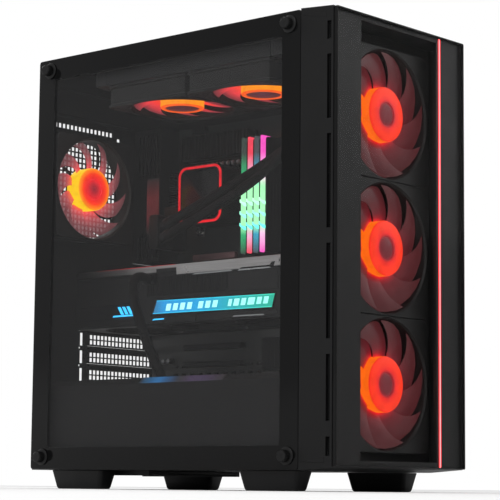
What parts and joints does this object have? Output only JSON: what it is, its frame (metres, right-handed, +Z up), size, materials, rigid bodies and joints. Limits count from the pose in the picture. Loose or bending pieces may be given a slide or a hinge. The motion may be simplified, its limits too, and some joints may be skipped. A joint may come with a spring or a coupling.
{
  "type": "desktop computer tower",
  "caption": "Upright desktop computer case with a dark glass front and window side, lit fans, liquid-cooled board, graphics card and power supply inside.",
  "frame": {"origin": "centre of the overall box on the floor, under the middle of the tower", "axes": "+Z up; the glass front faces -Y, the sockets face +Y, the window side faces -X and the plain side faces +X"},
  "size_m": [0.23, 0.4474, 0.4846],
  "materials": {
    "black_steel": "satin black powder coat",
    "black_plastic": "matte black",
    "smoked_glass": "dark tinted tempered glass",
    "rubber": "matte black",
    "fan_frame": "matte black",
    "lit_blade": "milky plastic lit from its hub",
    "light_bar": "milky plastic lit from inside",
    "black_aluminium": "black paint",
    "silver_metal": "brushed silver",
    "circuit_board": "black board lacquer",
    "memory_light": "milky plastic lit from inside",
    "filter_mesh": "fine black mesh"
  },
  "bodies": {
    "chassis": {"chassis_base": "black_steel", "chassis_top": "black_steel", "chassis_rear": "black_steel", "chassis_front": "black_steel", "motherboard_tray": "black_steel", "power_shroud": "black_steel", "foot_1": "rubber", "foot_2": "rubber", "foot_3": "rubber", "foot_4": "rubber", "front_fan_frame_1": "fan_frame", "front_fan_frame_2": "fan_frame", "front_fan_frame_3": "fan_frame", "rear_fan_frame": "fan_frame", "radiator": "black_aluminium", "radiator_fan_frame_1": "fan_frame", "radiator_fan_frame_2": "fan_frame", "pump_block": "black_plastic", "coolant_hose_1": "rubber", "coolant_hose_2": "rubber", "motherboard": "circuit_board", "port_cover": "black_plastic", "memory_stick_1": "memory_light", "memory_stick_2": "memory_light", "memory_stick_3": "memory_light", "memory_stick_4": "memory_light", "graphics_card": "black_plastic", "graphics_backplate": "silver_metal", "graphics_cable": "rubber", "slot_cover_1": "black_steel", "slot_cover_2": "black_steel", "slot_cover_3": "black_steel", "power_supply": "black_steel", "top_port_panel": "black_plastic"},
    "front_panel": {"front_bezel": "black_plastic", "front_glass": "smoked_glass", "light_strip": "light_bar"},
    "window": {"side_glass": "smoked_glass"},
    "window_screw_1": {"side_thumbscrew_1": "black_steel"},
    "window_screw_2": {"side_thumbscrew_2": "black_steel"},
    "window_screw_3": {"side_thumbscrew_3": "black_steel"},
    "window_screw_4": {"side_thumbscrew_4": "black_steel"},
    "side_cover": {"side_panel": "black_steel"},
    "panel_screw_1": {"rear_thumbscrew_1": "black_steel"},
    "panel_screw_2": {"rear_thumbscrew_2": "black_steel"},
    "front_fan_1": {"front_fan_rotor_1": "lit_blade"},
    "front_fan_2": {"front_fan_rotor_2": "lit_blade"},
    "front_fan_3": {"front_fan_rotor_3": "lit_blade"},
    "rear_fan": {"rear_fan_rotor": "lit_blade"},
    "radiator_fan_1": {"radiator_fan_rotor_1": "lit_blade"},
    "radiator_fan_2": {"radiator_fan_rotor_2": "lit_blade"},
    "card_fan_1": {"graphics_fan_rotor_1": "black_plastic"},
    "card_fan_2": {"graphics_fan_rotor_2": "black_plastic"},
    "card_fan_3": {"graphics_fan_rotor_3": "black_plastic"},
    "supply_fan": {"power_supply_rotor": "black_plastic"},
    "supply_switch": {"power_supply_switch": "black_plastic"},
    "power_button": {"power_button": "black_plastic"},
    "reset_button": {"reset_button": "black_plastic"},
    "top_filter": {"top_dust_filter": "filter_mesh"},
    "bottom_filter": {"bottom_dust_filter": "filter_mesh"}
  },
  "joints": [
    {"name": "front_panel_pull", "type": "slide", "parent": "chassis", "child": "front_panel", "axis": [0, -1, 0], "range_m": [0, 0.06]},
    {"name": "window_pull", "type": "slide", "parent": "chassis", "child": "window", "axis": [-1, 0, 0], "range_m": [0, 0.08]},
    {"name": "side_cover_slide", "type": "slide", "parent": "chassis", "child": "side_cover", "axis": [0, 1, 0], "range_m": [0, 0.05]},
    {"name": "window_screw_1_turn", "type": "hinge", "parent": "window", "child": "window_screw_1", "pos_m": [-0.105, -0.16275, 0.0345], "axis": [-1, 0, 0], "continuous": true},
    {"name": "window_screw_2_turn", "type": "hinge", "parent": "window", "child": "window_screw_2", "pos_m": [-0.105, 0.19125, 0.0345], "axis": [-1, 0, 0], "continuous": true},
    {"name": "window_screw_3_turn", "type": "hinge", "parent": "window", "child": "window_screw_3", "pos_m": [-0.105, -0.16275, 0.4701], "axis": [-1, 0, 0], "continuous": true},
    {"name": "window_screw_4_turn", "type": "hinge", "parent": "window", "child": "window_screw_4", "pos_m": [-0.105, 0.19125, 0.4701], "axis": [-1, 0, 0], "continuous": true},
    {"name": "panel_screw_1_turn", "type": "hinge", "parent": "side_cover", "child": "panel_screw_1", "pos_m": [0.1052, 0.21375, 0.0625], "axis": [0, 1, 0], "continuous": true},
    {"name": "panel_screw_2_turn", "type": "hinge", "parent": "side_cover", "child": "panel_screw_2", "pos_m": [0.1052, 0.21375, 0.4421], "axis": [0, 1, 0], "continuous": true},
    {"name": "front_fan_1_spin", "type": "hinge", "parent": "chassis", "child": "front_fan_1", "pos_m": [0.005, -0.17905, 0.109], "axis": [0, -1, 0], "continuous": true},
    {"name": "front_fan_2_spin", "type": "hinge", "parent": "chassis", "child": "front_fan_2", "pos_m": [0.005, -0.17905, 0.249], "axis": [0, -1, 0], "continuous": true},
    {"name": "front_fan_3_spin", "type": "hinge", "parent": "chassis", "child": "front_fan_3", "pos_m": [0.005, -0.17905, 0.389], "axis": [0, -1, 0], "continuous": true},
    {"name": "rear_fan_spin", "type": "hinge", "parent": "chassis", "child": "rear_fan", "pos_m": [-0.037, 0.21075, 0.3425], "axis": [0, -1, 0], "continuous": true},
    {"name": "radiator_fan_1_spin", "type": "hinge", "parent": "chassis", "child": "radiator_fan_1", "pos_m": [-0.027, -0.06105, 0.446], "axis": [0, 0, -1], "continuous": true},
    {"name": "radiator_fan_2_spin", "type": "hinge", "parent": "chassis", "child": "radiator_fan_2", "pos_m": [-0.027, 0.05895, 0.446], "axis": [0, 0, -1], "continuous": true},
    {"name": "card_fan_1_spin", "type": "hinge", "parent": "chassis", "child": "card_fan_1", "pos_m": [0.016, -0.04475, 0.19856], "axis": [0, 0, -1], "continuous": true},
    {"name": "card_fan_2_spin", "type": "hinge", "parent": "chassis", "child": "card_fan_2", "pos_m": [0.016, 0.05475, 0.19856], "axis": [0, 0, -1], "continuous": true},
    {"name": "card_fan_3_spin", "type": "hinge", "parent": "chassis", "child": "card_fan_3", "pos_m": [0.016, 0.15425, 0.19856], "axis": [0, 0, -1], "continuous": true},
    {"name": "supply_fan_spin", "type": "hinge", "parent": "chassis", "child": "supply_fan", "pos_m": [0.005, 0.12625, 0.0445], "axis": [0, 0, -1], "continuous": true},
    {"name": "supply_switch_rock", "type": "hinge", "parent": "chassis", "child": "supply_switch", "pos_m": [-0.017, 0.20925, 0.0805], "axis": [1, 0, 0], "range_deg": [-5, 5]},
    {"name": "power_button_press", "type": "slide", "parent": "chassis", "child": "power_button", "axis": [0, 0, -1], "range_m": [0, 0.0015], "stiffness_N_per_m": 300, "springref_m": -0.001},
    {"name": "reset_button_press", "type": "slide", "parent": "chassis", "child": "reset_button", "axis": [0, 0, -1], "range_m": [0, 0.0015], "stiffness_N_per_m": 300, "springref_m": -0.001},
    {"name": "top_filter_lift", "type": "slide", "parent": "chassis", "child": "top_filter", "axis": [0, 0, 1], "range_m": [0, 0.05]},
    {"name": "bottom_filter_slide", "type": "slide", "parent": "chassis", "child": "bottom_filter", "axis": [0, 1, 0], "range_m": [0, 0.12]}
  ]
}
